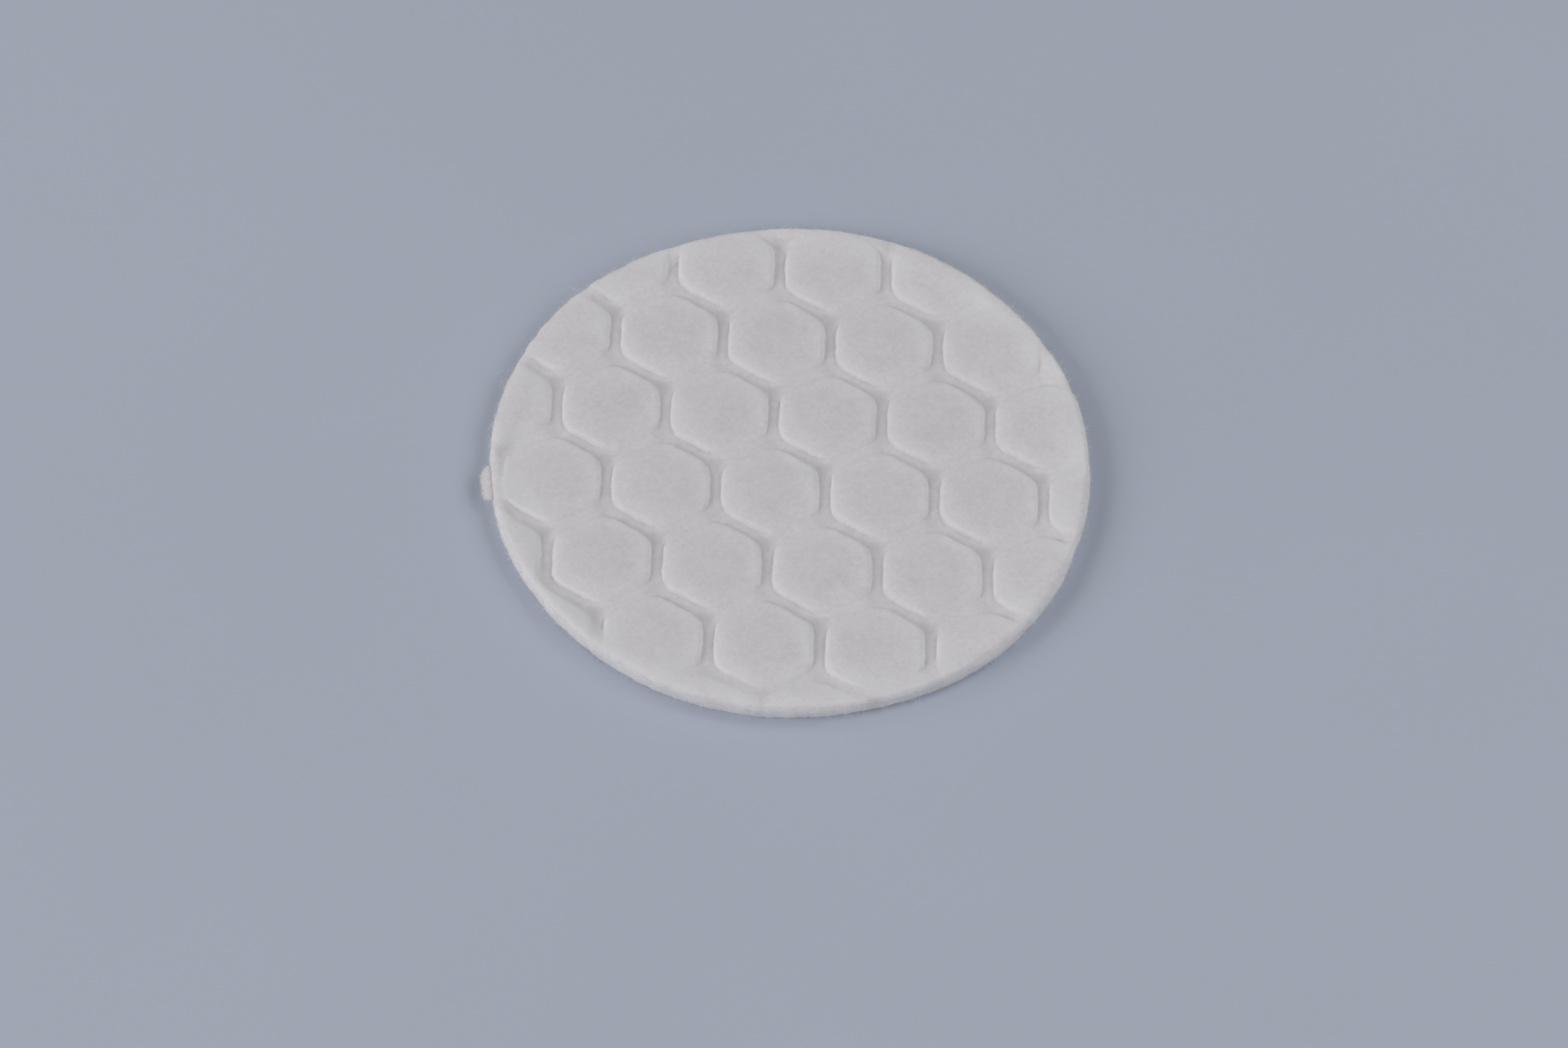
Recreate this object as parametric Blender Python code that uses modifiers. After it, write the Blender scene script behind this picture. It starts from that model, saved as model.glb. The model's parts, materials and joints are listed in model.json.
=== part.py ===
"""A round cotton pad: one pressed disc of cotton, with a honeycomb embossed in both faces.

The pad lies on z = 0 with its centre on the Z axis. +Y points away from the viewer.
A rounded hexagonal pillow stands at each site of the honeycomb, through the thin web
that the press leaves in the grooves. A turned blank with a rounded rim then cuts the
whole relief, as the die cuts the pad out of the embossed sheet.
"""

import math

import bmesh
import bpy
from mathutils import Matrix, Vector

MM = 0.001

# The pad's outline.
PAD_DIAMETER = 57.0 * MM
PAD_THICKNESS = 2.0 * MM
UPPER_RIM_RADIUS = 0.70 * MM
LOWER_RIM_RADIUS = 0.55 * MM
RIM_FACETS = 96
RIM_ARC_STEPS = 3

# The honeycomb. The phase is the middle of the cell nearest the pad's centre.
CELL_PITCH = 10.38 * MM
GROOVE_WIDTH = 1.10 * MM
UPPER_GROOVE_DEPTH = 0.65 * MM
LOWER_GROOVE_DEPTH = 0.40 * MM
HONEYCOMB_TURN = math.radians(0.93)
HONEYCOMB_PHASE = Vector((-1.80 * MM, -3.27 * MM))

# The rounded edge between a groove's wall and the flat crown of a cell.
UPPER_SHOULDER_WIDTH = 0.95 * MM
LOWER_SHOULDER_WIDTH = 0.80 * MM
UPPER_SHOULDER_STEPS = 3
LOWER_SHOULDER_STEPS = 2
CROWN_CORNER_RADIUS = 1.10 * MM
CORNER_FACETS = 3

# Each shoulder starts this far down inside the web, so that the two shapes overlap.
ROOT = 0.06 * MM
# The blank's flat faces stay this far clear of the crowns.
BLANK_CLEARANCE = 0.02 * MM

COTTON_COLOUR = (0.84, 0.83, 0.83, 1.0)
COTTON_ROUGHNESS = 0.95

HEXAGON_SIDES = 6
ROW_SPACING = CELL_PITCH * math.sqrt(3) / 2
PAD_RADIUS = PAD_DIAMETER / 2
WEB_TOP = PAD_THICKNESS - UPPER_GROOVE_DEPTH
WEB_BOTTOM = LOWER_GROOVE_DEPTH
# The sheet that the pad is cut from reaches past the rim by one cell.
SHEET_RADIUS = PAD_RADIUS + CELL_PITCH


def clear_scene():
    for obj in list(bpy.data.objects):
        bpy.data.objects.remove(obj)


def new_collection(name):
    collection = bpy.data.collections.new(name)
    bpy.context.scene.collection.children.link(collection)
    return collection


def object_from(bm, name, collection):
    """Turns a bmesh into an object of that name."""
    mesh = bpy.data.meshes.new(name)
    bm.to_mesh(mesh)
    bm.free()
    obj = bpy.data.objects.new(name, mesh)
    collection.objects.link(obj)
    return obj


def as_helper(obj):
    """Marks a shape that only cuts or joins another."""
    obj.hide_render = True
    obj.display_type = "WIRE"
    return obj


def cotton_material():
    material = bpy.data.materials.new("bleached_cotton")
    material.use_nodes = True
    shader = material.node_tree.nodes["Principled BSDF"]
    shader.inputs["Base Color"].default_value = COTTON_COLOUR
    shader.inputs["Roughness"].default_value = COTTON_ROUGHNESS
    shader.inputs["Metallic"].default_value = 0.0
    material.diffuse_color = COTTON_COLOUR
    return material


def cap_facing(bm, direction):
    """The face of bm whose normal points most nearly along Z in that direction."""
    return max(bm.faces, key=lambda face: face.normal.z * direction)


def raise_shoulder(bm, direction, width, height, steps):
    """Insets and lifts an end face along a quarter ellipse, upright first and flat last."""
    reached_in, reached_up = 0.0, 0.0
    for step in range(1, steps + 1):
        angle = step / steps * math.pi / 2
        inward = width * (1 - math.cos(angle))
        upward = height * math.sin(angle)
        bmesh.ops.inset_region(
            bm,
            faces=[cap_facing(bm, direction)],
            thickness=inward - reached_in,
            depth=upward - reached_up,
            use_even_offset=True,
        )
        reached_in, reached_up = inward, upward


def cell_pillow():
    """One cell: a hexagonal prism in the web, with rounded corners and a soft shoulder at each end."""
    low, high = WEB_BOTTOM + ROOT, WEB_TOP - ROOT
    across_flats = CELL_PITCH - GROOVE_WIDTH
    foot_corner_radius = CROWN_CORNER_RADIUS + max(UPPER_SHOULDER_WIDTH, LOWER_SHOULDER_WIDTH)
    bm = bmesh.new()
    bmesh.ops.create_cone(
        bm,
        cap_ends=True,
        segments=HEXAGON_SIDES,
        radius1=across_flats / math.sqrt(3),
        radius2=across_flats / math.sqrt(3),
        depth=high - low,
        matrix=Matrix.Translation((0, 0, (low + high) / 2)),
    )
    upright = [edge for edge in bm.edges if abs(edge.verts[0].co.z - edge.verts[1].co.z) > ROOT]
    bmesh.ops.bevel(
        bm,
        geom=upright,
        offset=foot_corner_radius * math.tan(math.pi / HEXAGON_SIDES),
        offset_type="OFFSET",
        segments=CORNER_FACETS,
        profile=0.5,
        affect="EDGES",
    )
    bm.normal_update()
    raise_shoulder(bm, 1, UPPER_SHOULDER_WIDTH, PAD_THICKNESS - high, UPPER_SHOULDER_STEPS)
    raise_shoulder(bm, -1, LOWER_SHOULDER_WIDTH, low, LOWER_SHOULDER_STEPS)
    return bm


def honeycomb_sites():
    """The middles of all cells that reach over the blank, with two of each cell's sides along Y."""
    reach = PAD_RADIUS + CELL_PITCH / math.sqrt(3)
    count = math.ceil(reach / ROW_SPACING) + 2
    turn = Matrix.Rotation(HONEYCOMB_TURN, 2)
    sites = []
    for row in range(-count, count + 1):
        for column in range(-count, count + 1):
            along = (column + (row % 2) / 2) * CELL_PITCH
            site = HONEYCOMB_PHASE + turn @ Vector((along, row * ROW_SPACING))
            if site.length < reach:
                sites.append(site)
    return sites


def all_pillows(collection):
    """Every cell of the honeycomb, as one mesh of separate pillows."""
    pillow = cell_pillow()
    single = bpy.data.meshes.new("cell_pillow")
    pillow.to_mesh(single)
    pillow.free()
    bm = bmesh.new()
    # A cone's first corner lies on the Y axis, which already puts two sides along Y.
    turn = Matrix.Rotation(HONEYCOMB_TURN, 4, "Z")
    for site in honeycomb_sites():
        start = len(bm.verts)
        bm.from_mesh(single)
        bm.verts.ensure_lookup_table()
        place = Matrix.Translation((site.x, site.y, 0)) @ turn
        bmesh.ops.transform(bm, matrix=place, verts=bm.verts[start:])
    bpy.data.meshes.remove(single)
    return as_helper(object_from(bm, "cell_pillows", collection))


def embossed_sheet(collection):
    """The thin web of the grooves, joined with the pillows that stand through it."""
    bm = bmesh.new()
    bmesh.ops.create_cone(
        bm,
        cap_ends=True,
        segments=RIM_FACETS,
        radius1=SHEET_RADIUS,
        radius2=SHEET_RADIUS,
        depth=WEB_TOP - WEB_BOTTOM,
        matrix=Matrix.Translation((0, 0, (WEB_TOP + WEB_BOTTOM) / 2)),
    )
    sheet = as_helper(object_from(bm, "embossed_sheet", collection))
    join = sheet.modifiers.new("pillows", "BOOLEAN")
    join.operation = "UNION"
    join.object = all_pillows(collection)
    return sheet


def rim_profile():
    """Half of the blank's section, from the top of the axis down its outer side to the bottom."""
    top, bottom = PAD_THICKNESS + BLANK_CLEARANCE, -BLANK_CLEARANCE
    points = [(0.0, top)]
    for step in range(RIM_ARC_STEPS + 1):
        angle = (1 - step / RIM_ARC_STEPS) * math.pi / 2
        across = PAD_RADIUS - UPPER_RIM_RADIUS * (1 - math.cos(angle))
        points.append((across, top - UPPER_RIM_RADIUS * (1 - math.sin(angle))))
    for step in range(RIM_ARC_STEPS + 1):
        angle = step / RIM_ARC_STEPS * math.pi / 2
        across = PAD_RADIUS - LOWER_RIM_RADIUS * (1 - math.cos(angle))
        points.append((across, bottom + LOWER_RIM_RADIUS * (1 - math.sin(angle))))
    points.append((0.0, bottom))
    return points


def turned_blank(collection):
    """The disc that the die cuts, turned from its section."""
    bm = bmesh.new()
    verts = [bm.verts.new((across, 0.0, height)) for across, height in rim_profile()]
    for upper, lower in zip(verts, verts[1:]):
        bm.edges.new((upper, lower))
    blank = object_from(bm, "turned_blank", collection)
    turn = blank.modifiers.new("turn", "SCREW")
    turn.steps = RIM_FACETS
    turn.render_steps = RIM_FACETS
    turn.use_merge_vertices = True
    turn.merge_threshold = BLANK_CLEARANCE / 10
    return as_helper(blank)


def cotton_pad(collection, helpers):
    """The blank's share of the embossed sheet, as one closed mesh."""
    blank = turned_blank(helpers)
    cut = blank.modifiers.new("embossed_sheet", "BOOLEAN")
    cut.operation = "INTERSECT"
    cut.object = embossed_sheet(helpers)
    bpy.context.view_layer.update()
    graph = bpy.context.evaluated_depsgraph_get()
    mesh = bpy.data.meshes.new_from_object(blank.evaluated_get(graph))
    mesh.name = "cotton_pad"
    mesh.materials.clear()
    mesh.materials.append(cotton_material())
    mesh.shade_smooth()
    mesh.set_sharp_from_angle(angle=math.radians(40))
    pad = bpy.data.objects.new("cotton_pad", mesh)
    collection.objects.link(pad)
    return pad


def main():
    clear_scene()
    pad_collection = new_collection("cotton_pad")
    helpers = new_collection("helpers")
    cotton_pad(pad_collection, helpers)


main()
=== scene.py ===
"""A round cotton pad: its pressed and swollen fleece, its loose fibres, and a pale studio.

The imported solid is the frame. One closed skin replaces it, with the same size and honeycomb, but
with swollen cells, felted faces and a cut rim that is a little out of round. Loose fibres stand out
of the rim and lie on the faces. Shapes are worked out in metres, in the frame's own axes: +Z is up,
and +Y points away from the viewer.
"""

import json
import math

import bpy
import numpy as np
from bpy.props import FloatProperty, FloatVectorProperty, IntProperty, PointerProperty
from mathutils import Matrix, Vector

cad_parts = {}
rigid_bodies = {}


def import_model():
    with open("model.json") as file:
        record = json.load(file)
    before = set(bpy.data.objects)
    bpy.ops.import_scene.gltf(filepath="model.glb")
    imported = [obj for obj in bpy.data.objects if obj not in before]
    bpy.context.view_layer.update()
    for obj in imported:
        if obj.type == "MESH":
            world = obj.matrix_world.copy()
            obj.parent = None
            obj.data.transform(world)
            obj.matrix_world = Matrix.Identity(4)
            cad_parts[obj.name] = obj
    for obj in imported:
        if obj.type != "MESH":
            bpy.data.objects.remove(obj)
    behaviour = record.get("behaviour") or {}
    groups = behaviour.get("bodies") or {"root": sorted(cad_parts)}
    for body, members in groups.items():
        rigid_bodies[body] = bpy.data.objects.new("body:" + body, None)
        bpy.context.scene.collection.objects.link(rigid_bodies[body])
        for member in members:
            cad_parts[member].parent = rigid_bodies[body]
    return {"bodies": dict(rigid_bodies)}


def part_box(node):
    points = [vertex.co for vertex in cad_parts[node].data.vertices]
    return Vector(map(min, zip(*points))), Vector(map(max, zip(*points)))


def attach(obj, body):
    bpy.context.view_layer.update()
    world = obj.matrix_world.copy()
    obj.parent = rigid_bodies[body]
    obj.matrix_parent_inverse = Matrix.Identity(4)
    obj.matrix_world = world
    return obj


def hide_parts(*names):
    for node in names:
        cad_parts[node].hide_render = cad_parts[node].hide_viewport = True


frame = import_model()

bl_info = {
    "name": "Cotton pad",
    "version": (1, 0, 0),
    "blender": (4, 5, 0),
    "location": "View3D > Sidebar > Cotton pad",
    "description": "Makes a round embossed cotton pad with loose fibres, and a pale studio for it",
    "category": "Object",
}

MM = 0.001
CAD_NODE = "cotton_pad"
CAD_BODY = next(iter(frame["bodies"]))
CAD_LOW, CAD_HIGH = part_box(CAD_NODE)
CAD_RADIUS = (CAD_HIGH.x - CAD_LOW.x) / 2
CAD_THICKNESS = CAD_HIGH.z - CAD_LOW.z

# The two faces of the pad, as places in every pair of them, and which way each one faces.
UPPER, LOWER = 0, 1
SIDE_SIGN = (1.0, -1.0)


# Properties.

def size(name, description, default):
    """A property for a length in metres."""
    return FloatProperty(
        name=name, description=description, default=default, subtype="DISTANCE", unit="LENGTH", precision=5
    )


def bearing(name, description, degrees):
    """A property for an angle, whose default is given in degrees."""
    return FloatProperty(
        name=name, description=description, default=math.radians(degrees), subtype="ANGLE", unit="ROTATION"
    )


def share(name, description, default, highest=1.0):
    """A property for a plain factor."""
    return FloatProperty(name=name, description=description, default=default, min=0.0, max=highest)


def number(name, description, default):
    """A property for a number of things, or for a seed."""
    return IntProperty(name=name, description=description, default=default, min=0)


def colour(name, description, default):
    """A property for a colour, in linear red, green and blue."""
    return FloatVectorProperty(
        name=name, description=description, default=default, min=0.0, max=1.0, size=3, subtype="COLOR"
    )


def power(name, description, default):
    """A property for the power of a light."""
    return FloatProperty(name=name, description=description, default=default, min=0.0, unit="POWER")


class PadForm(bpy.types.PropertyGroup):
    """Sizes of the pressed disc and of the honeycomb in its faces."""

    radius: size("Radius", "Half of the pad's diameter", CAD_RADIUS)
    thickness: size("Thickness", "From the resting plane to the tops of the cells", CAD_THICKNESS)
    pitch: size("Cell pitch", "From one cell's middle to the next", 10.38 * MM)
    groove_width: size("Groove width", "Width of the floor of a groove", 1.14 * MM)
    upper_depth: size("Upper groove depth", "From the cells' tops down to the floor", 0.75 * MM)
    lower_depth: size("Lower groove depth", "From the resting plane up to the floor", 0.40 * MM)
    turn: bearing("Honeycomb turn", "Turn of the honeycomb on the pad", 0.93)
    phase_x: size("Phase across", "Middle of the cell nearest the centre, to the right", -1.80 * MM)
    phase_y: size("Phase away", "Middle of the cell nearest the centre, away from the viewer", -3.27 * MM)
    loft: size("Loft", "How far a cell's middle swells above its edge", 0.28 * MM)
    rim_round: size("Rim rounding", "How far in from the outline the rim starts to round", 0.45 * MM)
    curl: size("Rim curl", "How far the right of the rim curls off the table", 0.30 * MM)
    rings: number("Rings", "Rings of points from the centre to the rim, on each face", 126)


class CottonFinish(bpy.types.PropertyGroup):
    """Colours and relief of the bleached cotton."""

    # The two ends of the fleece's tone. The pale end also carries painted light near the rim, and the grey
    # end painted shade at the feet of the walls.
    pale_and_lit_colour: colour("Pressed colour", "Where the fleece is pressed hard", (0.972, 0.950, 0.958))
    grey_and_shaded_colour: colour("Loose colour", "Where the fleece is loose", (0.798, 0.775, 0.784))
    roughness: share("Roughness", "Roughness of the fleece", 0.95)
    relief: size("Felt relief", "Height of the finest felted relief", 0.022 * MM)


class LooseFibres(bpy.types.PropertyGroup):
    """Numbers and sizes of the loose fibres."""

    nap_count: number("Nap fibres", "Short fibres all round the cut rim", 13500)
    wisp_count: number("Wisps", "Longer curly fibres, in clusters round the rim", 460)
    lint_count: number("Lint fibres", "Fibres that lie on each face", 500)
    tuft_fibre_count: number("Tuft fibres", "Fibres that stand out of the torn tuft", 700)
    thickness: size("Fibre thickness", "Diameter of one fibre", 0.032 * MM)
    seed: number("Seed", "Starts the random draws", 11)


class TornTuft(bpy.types.PropertyGroup):
    """The flat tuft of fleece that the cut has pulled out of the left of the rim."""

    bearing: bearing("Tuft bearing", "Where its middle is, anticlockwise from the right", 188.6)
    span: size("Tuft span", "Its length along the rim", 4.1 * MM)
    reach: size("Tuft reach", "How far it stands out of the rim", 0.90 * MM)
    thickness: size("Tuft thickness", "Its thickness", 0.60 * MM)


class Studio(bpy.types.PropertyGroup):
    """The table top, the lights and the camera."""

    floor_colour: colour("Floor colour", "Colour of the table top", (0.60, 0.66, 0.76))
    key_power: power("Key power", "Power of the low light at the left", 3.4)
    right_power: power("Right fill power", "Power of the broad light at the right", 1.75)
    front_power: power("Front fill power", "Power of the broad light in front", 1.65)
    back_power: power("Back fill power", "Power of the broad light at the left and behind", 1.2)
    ambient: share("Ambient", "Strength of the light from all round", 0.10, highest=5.0)


# Arithmetic on whole arrays.

def smooth_step(low, high, value):
    """0 below low and 1 above high, along a cubic with level ends."""
    t = np.clip((value - low) / (high - low), 0.0, 1.0)
    return t * t * (3.0 - 2.0 * t)


def soft_floor(value, softness):
    """The value where it is well above 0, and nearly 0 below: the logarithm of one plus its power."""
    return softness * np.logaddexp(0.0, value / softness)


def waves(x, y, seed, longest, shortest, count=30):
    """A cloudy field, mostly within -1.4 to 1.4: a sum of plane waves with random headings and
    phases. Their lengths are drawn evenly by octave between two ends, and their heights go with the
    roots of the lengths."""
    rng = np.random.default_rng(seed)
    wavelength = longest * (shortest / longest) ** rng.random(count)
    heading = rng.random(count) * 2 * np.pi
    phase = rng.random(count) * 2 * np.pi
    height = np.sqrt(wavelength / np.sum(wavelength))
    total = np.zeros(np.broadcast(x, y).shape)
    for length, way, start, tall in zip(wavelength, heading, phase, height):
        total += tall * np.sin((x * np.cos(way) + y * np.sin(way)) * 2 * np.pi / length + start)
    return total


def unit(vectors):
    """The vectors, each divided by its length."""
    return vectors / (np.linalg.norm(vectors, axis=-1, keepdims=True) + 1e-12)


# The honeycomb.

# The bearings of a cell's three pairs of sides, and the powers that round its corners.
SIDE_NORMALS = (0.0, math.pi / 3, 2 * math.pi / 3)
SHARP_CORNERS = 40.0
ROUND_CORNERS = 10.0
# Where the step from the firmly to the softly pressed sides starts and ends, as heights of a cosine.
SOFT_STEP = (-0.75, 0.35)
# How softly a groove's floor turns up into its wall, as a rule and where the press bites least.
FOOT_SOFTNESS = 0.03 * MM
SOFT_FOOT_SOFTNESS = 0.06 * MM
EDGE_WOBBLE = 0.04 * MM


def cell_place(form, x, y):
    """Each point's place in its own cell, along the honeycomb's axes. The nearest middle is the
    nearer one of two rectangular lattices, which hold every second row of cells each."""
    c, s = math.cos(form.turn), math.sin(form.turn)
    across = (x - form.phase_x) * c + (y - form.phase_y) * s
    away = (y - form.phase_y) * c - (x - form.phase_x) * s
    two_rows = form.pitch * math.sqrt(3)
    places = []
    for half in (0.0, 0.5):
        column = np.round(across / form.pitch - half) + half
        row = np.round(away / two_rows - half) + half
        places.append((across - column * form.pitch, away - row * two_rows))
    (ax, ay), (bx, by) = places
    first = ax ** 2 + ay ** 2 <= bx ** 2 + by ** 2
    return np.where(first, ax, bx), np.where(first, ay, by)


def from_border(form, across, away, sharpness):
    """How far inside its cell's border a point is: half a pitch less the root of the sum of a power of
    its distances along the hexagon's three normals. A lower power rounds the corners more."""
    total = np.zeros(np.shape(across))
    for angle in SIDE_NORMALS:
        total += np.abs(across * math.cos(angle) + away * math.sin(angle)) ** sharpness
    return form.pitch / 2 - total ** (1 / sharpness)


def soft_side(form, x, y):
    """1 along the one pair of a cell's sides where the press bites least, and 0 along the two others:
    a soft step of the cosine wave that repeats with the honeycomb and crests along that pair."""
    across, away = cell_place(form, x, y)
    crest = np.cos((across + away / math.sqrt(3)) * 2 * np.pi / form.pitch)
    return smooth_step(*SOFT_STEP, crest)


def past_foot(form, x, y):
    """How far past the foot of its groove's wall each point is, with a soft corner at the foot, and a
    softer one where the press bites least. The wall's line wobbles a little, because the fleece gives
    way unevenly under the press."""
    inside = from_border(form, *cell_place(form, x, y), ROUND_CORNERS)
    wobble = EDGE_WOBBLE * waves(x, y, seed=5, longest=5.0 * MM, shortest=0.9 * MM)
    softness = FOOT_SOFTNESS + (SOFT_FOOT_SOFTNESS - FOOT_SOFTNESS) * soft_side(form, x, y)
    return soft_floor(inside + wobble - form.groove_width / 2, softness)


def rise(past, steep_share, steep, slow):
    """From 0 at the foot of a groove's wall to 1 on the cell: a steep and a slow exponential."""
    sharp = 1 - np.exp(-past / steep)
    mild = 1 - np.exp(-past / slow)
    return steep_share * sharp + (1 - steep_share) * mild


# The pressed relief, before the cells swell.

# A wall: the share of it that is steep, and how far its steep and its slow part reach.
UPPER_WALL = (0.94, 0.072 * MM, 0.45 * MM)
LOWER_WALL = (0.80, 0.12 * MM, 0.80 * MM)
# The wall where the press bites least, and how much of the groove's depth is gone there.
SOFT_WALL = (0.55, 0.30 * MM, 0.90 * MM)
SOFT_LOSS = 0.45
FELT_HEIGHT = 0.0050 * MM
# How far in from the rim the grooves start to fade and have faded, and how much further in at the front.
FADE_REACH = (2.2 * MM, 0.6 * MM)
FRONT_FADE_REACH = (2.6 * MM, 1.1 * MM)
# How much of a groove's depth is gone at the rim, and how much more of it at the front.
FADED = 0.88
FRONT_FADED = 0.07
# How much of the loft the fleece has at the rim, where the cut has freed it, and how far in from the
# rim it starts to gain this and has gained it.
RIM_LOFT = 0.95
FREED_REACH = (3.0 * MM, 0.5 * MM)
FRONT_BREADTH = math.radians(28)
FRONT_ROLL_WIDTH = 2.6 * MM
FRONT_ROLL_DEPTH = 0.30 * MM


def at_front(x, y):
    """1 at the front of the rim, where the fleece has worn soft and rolls over, and 0 well beside it:
    a bell of the bearing from the front."""
    return np.exp(-(np.arctan2(x, -y) / FRONT_BREADTH) ** 2)


def rim_fade(form, x, y):
    """How much of a groove's depth is gone: none inside the pad, and nearly all of it at the rim, where
    the cut has fluffed the fleece. At the front this starts further in."""
    front = at_front(x, y)
    reaches = zip(FADE_REACH, FRONT_FADE_REACH)
    start, end = (form.radius - reach - further * front for reach, further in reaches)
    return smooth_step(start, end, np.hypot(x, y)) * (FADED + FRONT_FADED * front)


def roll_over(form, x, y):
    """How far the upper face sinks towards the front of the rim: the square of the share of the last
    millimetres that a point has gone."""
    share = np.clip((np.hypot(x, y) - form.radius + FRONT_ROLL_WIDTH) / FRONT_ROLL_WIDTH, 0.0, 1.0)
    return FRONT_ROLL_DEPTH * share ** 2 * at_front(x, y)


def relief(form, x, y):
    """Heights of the upper and the lower face where nothing has swollen yet, and how far past the
    foot of its groove's wall each point is. A face lies off its cells' edges by what is left of the
    groove's depth, times the share of the wall that is still to rise."""
    past = past_foot(form, x, y)
    soft = soft_side(form, x, y)
    left = (1 - rim_fade(form, x, y)) * (1 - SOFT_LOSS * soft)
    start, end = (form.radius - reach for reach in FREED_REACH)
    freed = smooth_step(start, end, np.hypot(x, y))
    edge = form.thickness - form.loft * (1 - RIM_LOFT * freed)
    floor_height = form.thickness - form.upper_depth
    upper_rise = rise(past, *UPPER_WALL) * (1 - soft) + rise(past, *SOFT_WALL) * soft
    upper = edge - (edge - floor_height) * (1 - upper_rise) * left - roll_over(form, x, y)
    lower = form.lower_depth * (1 - rise(past, *LOWER_WALL)) * left
    felt = waves(x, y, seed=21, longest=3.2 * MM, shortest=0.9 * MM, count=40)
    broad_felt = waves(x, y, seed=22, longest=9.0 * MM, shortest=4.0 * MM)
    lower_felt = waves(x, y, seed=23, longest=3.2 * MM, shortest=0.9 * MM, count=40)
    return upper + FELT_HEIGHT * (felt + 0.6 * broad_felt), lower + FELT_HEIGHT * lower_felt, past


# The bearing towards which the limp disc curls, how far out it starts to, and the power it curls with.
CURL_BEARING = math.radians(12)
CURL_START = 0.35
CURL_POWER = 2.2


def curl(form, x, y):
    """How far the limp disc is off the table: towards the right and slightly away it rises with a
    power of how far out a point is."""
    out = (x * math.cos(CURL_BEARING) + y * math.sin(CURL_BEARING)) / form.radius
    return form.curl * np.clip((out - CURL_START) / (1 - CURL_START), 0, None) ** CURL_POWER


# How the outline is out of round: waves round the rim, height, and the bearing of a crest in radians.
OUT_OF_ROUND = (
    (1, 0.10 * MM, 1.57),
    (2, 0.08 * MM, 1.14),
    (3, 0.09 * MM, 1.05),
    (4, 0.10 * MM, -0.52),
    (6, 0.08 * MM, 0.27),
)
# How far it stands over the circle as a whole, how far it is drawn in at a groove and how far past
# the groove's foot that reaches, and how ragged it is.
OVER_ROUND = 0.17 * MM
DRAWN_IN = 0.06 * MM
DRAWN_REACH = 0.9 * MM
RAGGED = 0.030 * MM


def outline(form, angle):
    """The outline's radius at each angle: the circle, out of round by a sum of cosines, drawn in by an
    exponential where a groove reaches the rim, and ragged where the die has dragged the fibres."""
    x, y = form.radius * np.cos(angle), form.radius * np.sin(angle)
    drawn_in = DRAWN_IN * np.exp(-past_foot(form, x, y) / DRAWN_REACH) * (1 - at_front(x, y))
    out_of_round = sum(height * np.cos(count * (angle - crest)) for count, height, crest in OUT_OF_ROUND)
    ragged = RAGGED * waves(x, y, seed=31, longest=2.5 * MM, shortest=0.45 * MM, count=60)
    return form.radius + OVER_ROUND + out_of_round - drawn_in + ragged


# The lattice of points on a face.

# How many of the rings, the outermost ones, go round the rim.
RIM_RINGS = 11
# The flat takes on the outline's difference from a circle with this power of how far out a point is.
OUTLINE_POWER = 8
# How much closer the points stand at a wall, where past its foot, and how broad a band this is.
WALL_CROWDING = 6.0
CROWDED_AT = 0.06 * MM
CROWDED_BAND = 0.15 * MM
# Between which shares of the way to the flat's edge this fades out.
CROWDING_FADE = (0.90, 0.985)
# How square the rim's section is: an ellipse at 1, and squarer below.
RIM_SQUARENESS = 0.75
# How soft the corner is where the swollen underside meets the table.
TABLE_SOFTNESS = 0.012 * MM
# The fine layers of the cut rim: how far they stand out, and how many times longer than high they are.
LAYER_HEIGHT = 0.045 * MM
LAYER_STRETCH = 9


def lattice_index(ring, place):
    """The number of a lattice point, from its ring and its place on the ring."""
    inside = 1 + 3 * ring * (ring - 1)
    return np.where(ring == 0, 0, inside + place % np.maximum(6 * ring, 1)).astype(int)


def disc_lattice(rings):
    """A triangular lattice of hexagonal rings bent round into circles: ring k holds 6 k points, so
    the triangles stay nearly equal. Returns each point's ring and angle, and the triangles."""
    counts = np.maximum(1, 6 * np.arange(rings + 1))
    ring = np.repeat(np.arange(rings + 1), counts)
    place = np.arange(len(ring)) - lattice_index(ring, 0)
    triangles = []
    for k in range(1, rings + 1):
        sector = np.repeat(np.arange(6), k)
        step = np.tile(np.arange(k), 6)
        outer, outer_next = lattice_index(k, sector * k + step), lattice_index(k, sector * k + step + 1)
        inner = lattice_index(k - 1, sector * (k - 1) + step)
        inner_next = lattice_index(k - 1, sector * (k - 1) + step + 1)
        triangles.append(np.stack([inner, outer, outer_next], 1))
        triangles.append(np.stack([inner, outer_next, inner_next], 1)[step < k - 1])
    return ring, place * 2 * np.pi / counts[ring], np.concatenate(triangles)


def read_lattice(values, rings, ring, angle):
    """Values between the points of a lattice: the mean of the three corners of the triangle round
    each place, by its barycentric coordinates along the rings and round them."""
    turn = (angle / (2 * np.pi)) % 1.0 * 6
    sector = np.minimum(np.floor(turn), 5)
    round_it = (turn - sector) * ring
    k = np.minimum(np.floor(ring), rings - 1)
    j = np.minimum(np.floor(round_it), k)
    a, b = ring - k, round_it - j
    low = (b <= a).astype(float)
    first = values[lattice_index(k, sector * k + j)]
    middle = values[lattice_index(k + low, sector * (k + low) + j + 1 - low)]
    last = values[lattice_index(k + 1, sector * (k + 1) + j + 1)]
    weights = np.stack([1 - np.maximum(a, b), np.abs(a - b), np.minimum(a, b)])[..., None]
    return first * weights[0] + middle * weights[1] + last * weights[2]


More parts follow.
